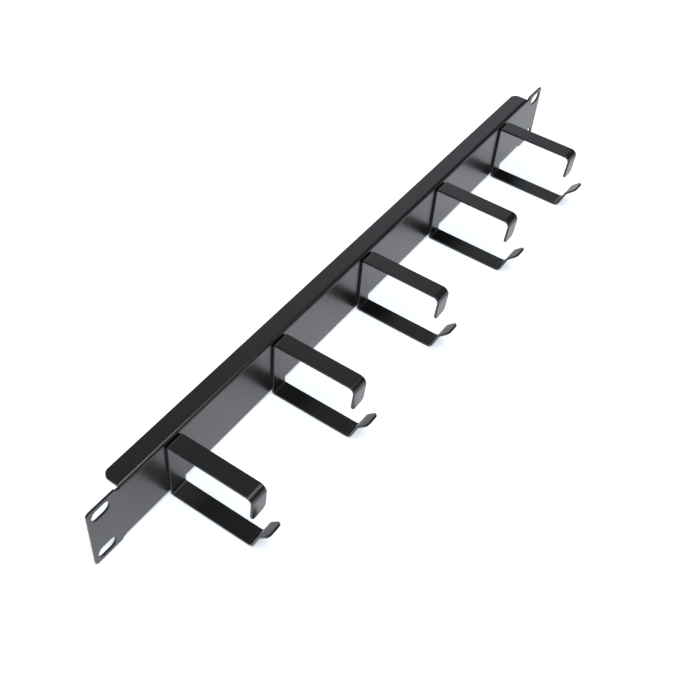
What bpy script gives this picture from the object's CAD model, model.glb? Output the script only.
import math

import bmesh
import bpy
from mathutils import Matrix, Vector


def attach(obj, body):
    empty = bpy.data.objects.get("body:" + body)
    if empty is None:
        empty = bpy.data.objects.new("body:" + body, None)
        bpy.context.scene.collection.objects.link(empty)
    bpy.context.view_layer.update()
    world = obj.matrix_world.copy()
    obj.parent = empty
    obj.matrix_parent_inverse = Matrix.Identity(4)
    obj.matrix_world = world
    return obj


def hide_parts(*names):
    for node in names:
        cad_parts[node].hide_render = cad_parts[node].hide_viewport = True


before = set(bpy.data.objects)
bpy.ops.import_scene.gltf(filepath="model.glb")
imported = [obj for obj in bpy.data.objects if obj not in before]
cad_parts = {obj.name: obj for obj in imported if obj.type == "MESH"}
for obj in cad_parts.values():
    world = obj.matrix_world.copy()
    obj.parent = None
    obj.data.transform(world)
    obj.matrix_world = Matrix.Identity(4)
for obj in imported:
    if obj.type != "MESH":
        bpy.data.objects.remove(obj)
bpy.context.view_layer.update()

# ---------------------------------------------------------------- driving sizes
# Metres. The panel's front faces -Y, the hooks reach out towards -Y, and the origin is
# the middle of the rack slots, on the rear face of the ears.

MM = 0.001

PANEL_WIDTH = 482.6 * MM
PANEL_HEIGHT = 43.7 * MM
SHEET = 1.5 * MM
EAR_LENGTH = 22.45 * MM
EAR_CORNER_RADIUS = 2.5 * MM
FLANGE_DEPTH = 12.4 * MM
FLANGE_CORNER_RADIUS = 5 * MM
FOLD_INSET = 0.5 * MM
FOLD_INNER_RADIUS = 0.8 * MM
BEND_CUT_WIDTH = 0.3 * MM
RELIEF_WIDTH = 3.05 * MM
RELIEF_DEPTH = 1.7 * MM
RELIEF_CORNER_RADIUS = 1.3 * MM
SLOT_FROM_END = 8.75 * MM
SLOT_FROM_EDGE = 5.975 * MM
SLOT_LENGTH = 12.5 * MM
SLOT_WIDTH = 7.5 * MM

HOOK_COUNT = 5
END_HOOK_INSET = 61.3 * MM
HOOK_BELOW_TOP = 2.0 * MM
HOOK_BELOW_BOTTOM = 0.9 * MM
STRIP_WIDTH = 11.5 * MM
STRIP = 1.5 * MM
STRIP_CORNER_RADIUS = 3 * MM
ROOT_RADIUS = 2.4 * MM
UPPER_REACH = 56.5 * MM
UPPER_RADIUS = 4.6 * MM
LIP_DROP = 18.2 * MM
LIP_LEAN = 3
LOWER_REACH = 57.2 * MM
LOWER_RADIUS = 4.6 * MM
RISER_LENGTH = 9 * MM
RISER_LEAN = 20
TONGUE_RADIUS = 6 * MM
TONGUE_LENGTH = 7.5 * MM
TONGUE_SLOPE = 44

WELD_MARK_RADIUS = 2.5 * MM
WELD_MARK_DEPTH = 0.12 * MM
WELD_SPACING = 20 * MM

# What stamping and the coat leave along the free edges, apart from the reliefs'
EDGE_RADIUS = 0.25 * MM

FOLD_OUTER_RADIUS = FOLD_INNER_RADIUS + SHEET
FLAT_HALF_HEIGHT = PANEL_HEIGHT / 2 - FOLD_INSET - FOLD_OUTER_RADIUS
HALF_FLANGE = PANEL_WIDTH / 2 - EAR_LENGTH
HALF_GAP = HALF_FLANGE + BEND_CUT_WIDTH
HALF_RELIEVED = HALF_FLANGE + RELIEF_WIDTH
RELIEF_FLOOR = PANEL_HEIGHT / 2 - RELIEF_DEPTH
FLANGE_REAR = FLANGE_DEPTH - SHEET
HOOK_PITCH = (PANEL_WIDTH - 2 * END_HOOK_INSET) / (HOOK_COUNT - 1)
HOOK_PLACES = [(number - (HOOK_COUNT + 1) / 2) * HOOK_PITCH for number in range(1, HOOK_COUNT + 1)]

# Two places nearer than this are the same place, and two verts nearer than this are merged
CLOSE = 0.01 * MM
MERGED = 0.001 * MM

# Degrees turned by one facet of a bend, and the fewest facets in a bend
BEND_STEP = 5
FEWEST_FACETS = 4

# Facets across a rounded corner or edge, and round a cylinder that cuts a slot or a weld mark
CORNER_STEPS = 12
EDGE_STEPS = 3
SLOT_FACETS = 72
MARK_FACETS = 48
SLOT_CUTTER_DEPTH = 8 * SHEET

# Degrees between two faces: past the first their edge is rounded, past the second it is shaded sharp
ROUNDED_PAST = 40
SHARP_PAST = 35

# How strongly large faces outweigh small ones in the shading. 50 is by area alone.
LARGE_FACE_WEIGHT = 80


# ---------------------------------------------------------------- the bench

def deselect_all():
    if bpy.context.object and bpy.context.object.mode != "OBJECT":
        bpy.ops.object.mode_set(mode="OBJECT")
    bpy.ops.object.select_all(action="DESELECT")


def only(piece):
    """Make a piece the one that is selected and worked on."""
    deselect_all()
    piece.select_set(True)
    bpy.context.view_layer.objects.active = piece


def settle(piece):
    """Put a piece's place, turn and size into its mesh."""
    only(piece)
    bpy.ops.object.transform_apply(location=True, rotation=True, scale=True)


def pick(piece, kind, test):
    """In edit mode, select only the verts, edges or faces that pass a test."""
    bpy.ops.mesh.select_mode(type={"verts": "VERT", "edges": "EDGE", "faces": "FACE"}[kind])
    bpy.ops.mesh.select_all(action="DESELECT")
    mesh = bmesh.from_edit_mesh(piece.data)
    for item in getattr(mesh, kind):
        if test(item):
            item.select_set(True)
    mesh.select_flush_mode()
    bmesh.update_edit_mesh(piece.data)


def round_corners(piece, radius, test):
    """Round the outline of a sheet that has no thickness yet, at the corners that pass a test."""
    pick(piece, "verts", test)
    bpy.ops.mesh.bevel(offset=radius, segments=CORNER_STEPS, profile=0.5, affect="VERTICES")


def spin(degrees, centre):
    """Draw the picked edge round a centre, anticlockwise as seen from the +X end.

    The operator counts its angle the other way.
    """
    steps = max(FEWEST_FACETS, round(abs(degrees) / BEND_STEP))
    bpy.ops.mesh.spin(steps=steps, angle=-math.radians(degrees), center=centre, axis=(1, 0, 0))


def apply_modifier(piece, kind, **settings):
    only(piece)
    modifier = piece.modifiers.new(kind.title(), kind)
    for key, value in settings.items():
        setattr(modifier, key, value)
    bpy.ops.object.modifier_apply(modifier=modifier.name)


def cut(piece, cutter):
    """Take a closed shape out of a piece."""
    apply_modifier(piece, "BOOLEAN", operation="DIFFERENCE", solver="EXACT", object=cutter)
    bpy.data.objects.remove(cutter)


def face_outwards(piece, outward):
    """Turn all of a sheet's faces to the side that its widest face should look to."""
    bpy.ops.mesh.select_all(action="SELECT")
    bpy.ops.mesh.remove_doubles(threshold=MERGED)
    bpy.ops.mesh.normals_make_consistent(inside=False)
    mesh = bmesh.from_edit_mesh(piece.data)
    widest = max(mesh.faces, key=lambda face: face.calc_area())
    if widest.normal.dot(outward) < 0:
        bpy.ops.mesh.flip_normals()


def thicken(piece, thickness):
    apply_modifier(piece, "SOLIDIFY", thickness=thickness, offset=-1,
                   use_even_offset=True, use_quality_normals=True)


def soften_edges(piece, test=lambda edge: True):
    """Round the sharp edges that pass a test."""
    only(piece)
    bpy.ops.object.mode_set(mode="EDIT")
    pick(piece, "edges", lambda edge: len(edge.link_faces) == 2
         and edge.calc_face_angle() > math.radians(ROUNDED_PAST) and test(edge))
    bpy.ops.mesh.bevel(offset=EDGE_RADIUS, segments=EDGE_STEPS, profile=0.5, affect="EDGES")
    bpy.ops.object.mode_set(mode="OBJECT")


def shade(piece):
    """Flat faces stay flat and round ones smooth."""
    only(piece)
    bpy.ops.object.shade_smooth_by_angle(angle=math.radians(SHARP_PAST))
    apply_modifier(piece, "WEIGHTED_NORMAL", keep_sharp=True, weight=LARGE_FACE_WEIGHT)


def fit(piece, name, node, material):
    """Give a finished piece its name, finish, node and body."""
    piece.name = name
    piece.data.name = name
    piece.data.materials.clear()
    piece.data.materials.append(material)
    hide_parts(node)
    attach(piece, "root")


# ---------------------------------------------------------------- folded panel

def fold_flange(panel, side):
    """Spin the web's long edge round the fold and draw it back into the flange."""
    foot = side * FLAT_HALF_HEIGHT

    def on_foot(edge):
        return all(abs(v.co.z - foot) < CLOSE and abs(v.co.x) < HALF_FLANGE + CLOSE for v in edge.verts)

    pick(panel, "edges", on_foot)
    spin(-side * 90, (0, FOLD_INNER_RADIUS, foot))
    crest = side * (FLAT_HALF_HEIGHT + FOLD_OUTER_RADIUS)
    pick(panel, "verts", lambda v: abs(v.co.z - crest) < CLOSE and abs(v.co.y - FOLD_INNER_RADIUS) < CLOSE)
    bpy.ops.mesh.extrude_region_move(
        TRANSFORM_OT_translate={"value": (0, FLANGE_REAR - FOLD_INNER_RADIUS, 0)})
    round_corners(panel, FLANGE_CORNER_RADIUS,
                  lambda v: abs(v.co.z - crest) < CLOSE and abs(v.co.y - FLANGE_REAR) < CLOSE)


def slot_cutter(x, z):
    """A cylinder pulled out along X to the slot's length."""
    bpy.ops.mesh.primitive_cylinder_add(vertices=SLOT_FACETS, radius=SLOT_WIDTH / 2, depth=SLOT_CUTTER_DEPTH,
                                        location=(x, 0, z), rotation=(math.pi / 2, 0, 0))
    cutter = bpy.context.object
    settle(cutter)
    bpy.ops.object.mode_set(mode="EDIT")
    pull = (SLOT_LENGTH - SLOT_WIDTH) / 2
    for side in (-1, +1):
        pick(cutter, "verts", lambda v: side * (v.co.x - x) > CLOSE)
        bpy.ops.transform.translate(value=(side * pull, 0, 0))
    bpy.ops.object.mode_set(mode="OBJECT")
    return cutter


def weld_mark_cutter(x, z):
    """A disc sunk by half its depth into the sheet's rear face."""
    bpy.ops.mesh.primitive_cylinder_add(vertices=MARK_FACETS, radius=WELD_MARK_RADIUS,
                                        depth=2 * WELD_MARK_DEPTH,
                                        location=(x, 0, z), rotation=(math.pi / 2, 0, 0))
    cutter = bpy.context.object
    settle(cutter)
    return cutter


def is_coated_edge(edge):
    """Ear and slot outlines, and the rims of the flanges and folds. The reliefs stay as cut."""
    first, last = (vert.co for vert in edge.verts)
    middle = (first + last) / 2
    across_sheet = abs(first.y - last.y) > CLOSE
    on_ear = abs(middle.x) > HALF_RELIEVED + CLOSE and not across_sheet
    on_corner_or_rear = middle.y > FLANGE_REAR - FLANGE_CORNER_RADIUS + CLOSE
    at_end = all(abs(abs(place.x) - HALF_FLANGE) < CLOSE for place in (first, last))
    on_flange_end = at_end and abs(middle.z) > FLAT_HALF_HEIGHT + CLOSE
    return on_ear or on_corner_or_rear or on_flange_end


def make_panel():
    deselect_all()
    bpy.ops.mesh.primitive_plane_add(size=1, location=(0, -SHEET, 0), rotation=(math.pi / 2, 0, 0))
    panel = bpy.context.object
    panel.scale = (PANEL_WIDTH, PANEL_HEIGHT, 1)
    settle(panel)
    bpy.ops.object.mode_set(mode="EDIT")
    for place, normal in (
        ((HALF_RELIEVED, 0, 0), (1, 0, 0)),
        ((HALF_GAP, 0, 0), (1, 0, 0)),
        ((HALF_FLANGE, 0, 0), (1, 0, 0)),
        ((0, 0, FLAT_HALF_HEIGHT), (0, 0, 1)),
        ((0, 0, RELIEF_FLOOR), (0, 0, 1)),
    ):
        for side in (-1, +1):
            bpy.ops.mesh.select_all(action="SELECT")
            bpy.ops.mesh.bisect(plane_co=side * Vector(place), plane_no=normal)

    # The web's long edges are cut away down to the folds, with a shallow relief beside each
    for half_width, floor in ((HALF_GAP, FLAT_HALF_HEIGHT), (HALF_RELIEVED, RELIEF_FLOOR)):
        pick(panel, "faces", lambda face: abs(face.calc_center_median().x) < half_width
             and abs(face.calc_center_median().z) > floor)
        bpy.ops.mesh.delete(type="FACE")
    pick(panel, "edges", lambda edge: len(edge.link_faces) == 2)
    bpy.ops.mesh.dissolve_edges(use_verts=False)

    round_corners(panel, EAR_CORNER_RADIUS,
                  lambda v: abs(abs(v.co.x) - PANEL_WIDTH / 2) < CLOSE
                  and abs(abs(v.co.z) - PANEL_HEIGHT / 2) < CLOSE)
    round_corners(panel, RELIEF_CORNER_RADIUS,
                  lambda v: abs(abs(v.co.x) - HALF_RELIEVED) < CLOSE
                  and abs(abs(v.co.z) - RELIEF_FLOOR) < CLOSE)
    for side in (-1, +1):
        fold_flange(panel, side)
    face_outwards(panel, Vector((0, -1, 0)))
    bpy.ops.object.mode_set(mode="OBJECT")

    thicken(panel, SHEET)
    for x in (-1, +1):
        for z in (-1, +1):
            cut(panel, slot_cutter(x * (PANEL_WIDTH / 2 - SLOT_FROM_END),
                                   z * (PANEL_HEIGHT / 2 - SLOT_FROM_EDGE)))
    soften_edges(panel, is_coated_edge)
    for x in HOOK_PLACES:
        for z in (-1, +1):
            cut(panel, weld_mark_cutter(x, z * WELD_SPACING / 2))
    shade(panel)
    return panel


# ---------------------------------------------------------------- cable hooks

def hook_path():
    """The outer skin from the lip's tip to the tongue's: ("run", length, 0) or ("bend", radius, turn)."""
    height = PANEL_HEIGHT - HOOK_BELOW_TOP + HOOK_BELOW_BOTTOM
    lean = math.radians(LIP_LEAN)
    lip = (LIP_DROP - UPPER_RADIUS - UPPER_RADIUS * math.sin(lean)) / math.cos(lean)
    return [
        ("run", lip, 0),
        ("bend", UPPER_RADIUS, -90 - LIP_LEAN),
        ("run", UPPER_REACH - UPPER_RADIUS - ROOT_RADIUS, 0),
        ("bend", ROOT_RADIUS, -90),
        ("run", height - 2 * ROOT_RADIUS, 0),
        ("bend", ROOT_RADIUS, -90),
        ("run", LOWER_REACH - LOWER_RADIUS - ROOT_RADIUS, 0),
        ("bend", LOWER_RADIUS, RISER_LEAN - 90),
        ("run", RISER_LENGTH, 0),
        ("bend", TONGUE_RADIUS, 90 - TONGUE_SLOPE - RISER_LEAN),
        ("run", TONGUE_LENGTH, 0),
    ]


def left_of(heading):
    """The direction a quarter turn to the left of a heading, seen from the +X end."""
    return Vector((0, -math.sin(heading), math.cos(heading)))


def make_hook():
    """The middle hook's outer skin: a strip drawn out and bent run by run."""
    path = hook_path()
    top = PANEL_HEIGHT / 2 - HOOK_BELOW_TOP
    lean = math.radians(LIP_LEAN)
    lip = path[0][1]
    y = -SHEET - UPPER_REACH + UPPER_RADIUS - UPPER_RADIUS * math.cos(lean) + lip * math.sin(lean)
    z = top - UPPER_RADIUS - UPPER_RADIUS * math.sin(lean) - lip * math.cos(lean)
    heading = math.pi / 2 + lean

    deselect_all()
    bpy.ops.mesh.primitive_plane_add(size=1, location=(0, y, z))
    hook = bpy.context.object
    hook.scale = (STRIP_WIDTH, STRIP, 1)
    settle(hook)
    bpy.ops.object.mode_set(mode="EDIT")
    pick(hook, "edges", lambda edge: all(v.co.y > y for v in edge.verts))
    bpy.ops.mesh.delete(type="VERT")
    pick(hook, "verts", lambda v: True)
    bpy.ops.transform.translate(value=(0, STRIP / 2, 0))

    for kind, size, turn in path:
        here = Vector((0, y, z))
        pick(hook, "verts", lambda v: abs(v.co.y - here.y) < CLOSE and abs(v.co.z - here.z) < CLOSE)
        if kind == "run":
            step = Vector((0, size * math.cos(heading), size * math.sin(heading)))
            bpy.ops.mesh.extrude_region_move(TRANSFORM_OT_translate={"value": step})
            y, z = (here + step).yz
            continue
        radius = math.copysign(size, turn)
        centre = here + radius * left_of(heading)
        spin(turn, centre)
        heading += math.radians(turn)
        y, z = (centre - radius * left_of(heading)).yz

    round_corners(hook, STRIP_CORNER_RADIUS, lambda v: len(v.link_edges) == 2)
    face_outwards(hook, Vector((0, 0, -1)))
    bpy.ops.object.mode_set(mode="OBJECT")
    return hook


# ---------------------------------------------------------------- finishes
# A pattern's scale is in lumps to the metre.

# Powder coat: a fine orange peel with a finer grain on it
PEEL_SCALE = 700
PEEL_HEIGHT = 0.02 * MM
PEEL_STRENGTH = 0.22
GRAIN_SCALE = 3500
GRAIN_HEIGHT = 0.008 * MM
GRAIN_STRENGTH = 0.15

# Its gloss, which is a little uneven from place to place
ROUGHNESS = 0.29
UNEVENNESS = 0.03
GLOSS_SCALE = 45
IOR = 1.62

# Its colour, which goes from dark to pale as the speckle rises through a range
SPECKLE_SCALE = 1400
SPECKLE_RANGE = (0.35, 0.75)
PANEL_DARK = (0.0022, 0.0023, 0.0026, 1)
PANEL_PALE = (0.0042, 0.0043, 0.0047, 1)
HOOK_DARK = (0.0020, 0.0020, 0.0022, 1)
HOOK_PALE = (0.0038, 0.0037, 0.0040, 1)


def add_node(tree, kind, **values):
    """A node with its inputs and settings given by name."""
    node = tree.nodes.new(kind)
    for key, value in values.items():
        if key in node.inputs:
            node.inputs[key].default_value = value
        else:
            setattr(node, key, value)
    return node


def combine(tree, operation, first, second):
    """One number from two."""
    node = add_node(tree, "ShaderNodeMath", operation=operation)
    tree.links.new(first, node.inputs[0])
    tree.links.new(second, node.inputs[1])
    return node.outputs[0]


def ramp(tree, value, start, end, low=0, high=1, shape="SMOOTHSTEP"):
    """A number that goes from low at a start to high at an end, and stays so past each."""
    node = add_node(tree, "ShaderNodeMapRange", interpolation_type=shape,
                    **{"From Min": start, "From Max": end, "To Min": low, "To Max": high})
    tree.links.new(value, node.inputs["Value"])
    return node.outputs["Result"]


def new_material(name):
    material = bpy.data.materials.new(name)
    material.use_nodes = True
    material.node_tree.nodes.clear()
    return material, material.node_tree


def powder_coat(name, dark, pale):
    """Satin black powder coat."""
    material, tree = new_material(name)
    output = add_node(tree, "ShaderNodeOutputMaterial")
    shader = add_node(tree, "ShaderNodeBsdfPrincipled", IOR=IOR)
    place = add_node(tree, "ShaderNodeTexCoord")

    def noise(scale, detail):
        node = add_node(tree, "ShaderNodeTexNoise", Scale=scale, Detail=detail)
        tree.links.new(place.outputs["Object"], node.inputs["Vector"])
        return node.outputs["Fac"]

    peel = add_node(tree, "ShaderNodeBump", Strength=PEEL_STRENGTH, Distance=PEEL_HEIGHT)
    tree.links.new(noise(PEEL_SCALE, detail=2), peel.inputs["Height"])
    grain = add_node(tree, "ShaderNodeBump", Strength=GRAIN_STRENGTH, Distance=GRAIN_HEIGHT)
    tree.links.new(noise(GRAIN_SCALE, detail=3), grain.inputs["Height"])
    tree.links.new(peel.outputs["Normal"], grain.inputs["Normal"])
    tree.links.new(grain.outputs["Normal"], shader.inputs["Normal"])

    gloss = ramp(tree, noise(GLOSS_SCALE, detail=4), 0, 1,
                 low=ROUGHNESS - UNEVENNESS, high=ROUGHNESS + UNEVENNESS, shape="LINEAR")
    tree.links.new(gloss, shader.inputs["Roughness"])

    tone = add_node(tree, "ShaderNodeValToRGB")
    for stop, position, colour in zip(tone.color_ramp.elements, SPECKLE_RANGE, (dark, pale)):
        stop.position = position
        stop.color = colour
    tree.links.new(noise(SPECKLE_SCALE, detail=4), tone.inputs["Fac"])
    tree.links.new(tone.outputs["Color"], shader.inputs["Base Color"])
    tree.links.new(shader.outputs["BSDF"], output.inputs["Surface"])
    return material


# ---------------------------------------------------------------- the pieces

panel_coat = powder_coat("panel_coat", PANEL_DARK, PANEL_PALE)
hook_coat = powder_coat("hook_coat", HOOK_DARK, HOOK_PALE)

fit(make_panel(), "folded_panel_coated", "folded_panel", panel_coat)

middle_hook = make_hook()
thicken(middle_hook, STRIP)
soften_edges(middle_hook)
shade(middle_hook)
for number, x in enumerate(HOOK_PLACES, start=1):
    hook = middle_hook.copy()
    hook.data = middle_hook.data.copy()
    bpy.context.collection.objects.link(hook)
    hook.location.x = x
    settle(hook)
    fit(hook, f"cable_hook_{number}_coated", f"cable_hook_{number}", hook_coat)
bpy.data.objects.remove(middle_hook)


# ---------------------------------------------------------------- floor
# The floor is a hair below the hooks, so that it doesn't lie in the same plane as their undersides.

FLOOR_SIZE = 12
FLOOR_DROP = 0.02 * MM
FLOOR_LEVEL = -PANEL_HEIGHT / 2 - HOOK_BELOW_BOTTOM - FLOOR_DROP
FLOOR_COLOUR = (0.8, 0.8, 0.8, 1)

# How much the floor is lifted towards white: near the object, and far out where the lamp's light ends
LIFT_COLOUR = (0.92, 0.99, 1.10, 1)
NEAR_LIFT = 0.55
FAR_LIFT = 1.05
LIFT_STARTS = 1
LIFT_ENDS = 2.6


def seen_directly(tree):
    """1 for a camera, mirror or see-through ray, and 0 for light on its way to the object."""
    ray = add_node(tree, "ShaderNodeLightPath").outputs
    not_camera = combine(tree, "MAXIMUM", ray["Is Glossy Ray"], ray["Is Transmission Ray"])
    return combine(tree, "MAXIMUM", ray["Is Camera Ray"], not_camera)


def make_floor():
    deselect_all()
    bpy.ops.mesh.primitive_plane_add(size=FLOOR_SIZE, location=(0, 0, FLOOR_LEVEL))
    floor = bpy.context.object
    floor.name = "studio_floor"
    settle(floor)

    floor_white, tree = new_material("floor_white")
    matt = add_node(tree, "ShaderNodeBsdfDiffuse", Color=FLOOR_COLOUR)
    place = add_node(tree, "ShaderNodeTexCoord")
    away = add_node(tree, "ShaderNodeVectorMath", operation="LENGTH")
    tree.links.new(place.outputs["Object"], away.inputs[0])
    rise = ramp(tree, away.outputs["Value"], LIFT_STARTS, LIFT_ENDS, low=NEAR_LIFT, high=FAR_LIFT)
    lift = add_node(tree, "ShaderNodeEmission", Color=LIFT_COLOUR)
    tree.links.new(combine(tree, "MULTIPLY", seen_directly(tree), rise), lift.inputs["Strength"])
    total = add_node(tree, "ShaderNodeAddShader")
    tree.links.new(matt.outputs[0], total.inputs[0])
    tree.links.new(lift.outputs[0], total.inputs[1])
    output = add_node(tree, "ShaderNodeOutputMaterial")
    tree.links.new(total.outputs[0], output.inputs["Surface"])
    floor.data.materials.append(floor_white)
    return floor


floor = make_floor()


# ---------------------------------------------------------------- room and lamp
# The room is bright behind the panel, up to about half way overhead, and dim in front of it.
# A pale band runs all round it at the horizon.

ROOM_COLOUR = (0.95, 0.99, 1.06, 1)
DIM_ROOM = 0.12
BRIGHT_ROOM = 1

# Limits of the bright side and the band, as parts of a direction one unit long: the first two towards
# +Y, and the others upwards
BRIGHT_SIDE_STARTS = 0.1
BRIGHT_SIDE_FULL = 0.4
BRIGHT_SIDE_FADES = 0.48
BRIGHT_SIDE_ENDS = 0.85
BAND_FADES = 0.05
BAND_ENDS = 0.12

# Overhead and a little in front, in metres and watts
LAMP_PLACE = (-0.15, -0.5, 1.5)
LAMP_WIDTH = 1.6
LAMP_DEPTH = 0.9
LAMP_POWER = 22


def make_room():
    room = bpy.data.worlds.new("studio")
    bpy.context.scene.world = room
    room.use_nodes = True
    tree = room.node_tree
    tree.nodes.clear()
    direction = add_node(tree, "ShaderNodeTexCoord")
    parts = add_node(tree, "ShaderNodeSeparateXYZ")
    tree.links.new(direction.outputs["Generated"], parts.inputs[0])

    backwards = ramp(tree, parts.outputs["Y"], BRIGHT_SIDE_STARTS, BRIGHT_SIDE_FULL)
    not_overhead = ramp(tree, parts.outputs["Z"], BRIGHT_SIDE_ENDS, BRIGHT_SIDE_FADES)
    bright_side = combine(tree, "MULTIPLY", backwards, not_overhead)
    band = ramp(tree, parts.outputs["Z"], BAND_ENDS, BAND_FADES)
    lit = combine(tree, "MAXIMUM", bright_side, band)

    glow = add_node(tree, "ShaderNodeBackground", Color=ROOM_COLOUR)
    level = ramp(tree, lit, 0, 1, low=DIM_ROOM, high=BRIGHT_ROOM, shape="LINEAR")
    tree.links.new(level, glow.inputs["Strength"])
    output = add_node(tree, "ShaderNodeOutputWorld")
    tree.links.new(glow.outputs[0], output.inputs["Surface"])


def make_lamp():
    """A wide studio lamp, turned to face the origin."""
    light = bpy.data.lights.new("overhead_soft_box", "AREA")
    light.shape = "RECTANGLE"
    light.size = LAMP_WIDTH
    light.size_y = LAMP_DEPTH
    light.energy = LAMP_POWER
    lamp = bpy.data.objects.new("overhead_soft_box", light)
    bpy.context.collection.objects.link(lamp)
    lamp.location = LAMP_PLACE
    lamp.rotation_euler = (-Vector(LAMP_PLACE)).to_track_quat("-Z", "Y").to_euler()


make_room()
make_lamp()


# ---------------------------------------------------------------- camera

LENS = 51.3
SENSOR_WIDTH = 36
CAMERA_SHIFT = (0.0194, -0.0041)
CAMERA_CLIP = 10 * MM
CAMERA_PLACE = (-404.85 * MM, -229.99 * MM, 428.75 * MM)
CAMERA_TURN = (43.132, -3.412, -55.265)


def make_camera():
    lens = bpy.data.cameras.new("camera")
    lens.sensor_width = SENSOR_WIDTH
    lens.lens = LENS
    lens.shift_x, lens.shift_y = CAMERA_SHIFT
    lens.clip_start = CAMERA_CLIP
    camera = bpy.data.objects.new("camera", lens)
    bpy.context.collection.objects.link(camera)
    camera.location = CAMERA_PLACE
    camera.rotation_euler = [math.radians(angle) for angle in CAMERA_TURN]
    return camera


bpy.context.scene.camera = make_camera()
bpy.context.scene.view_settings.view_transform = "Standard"
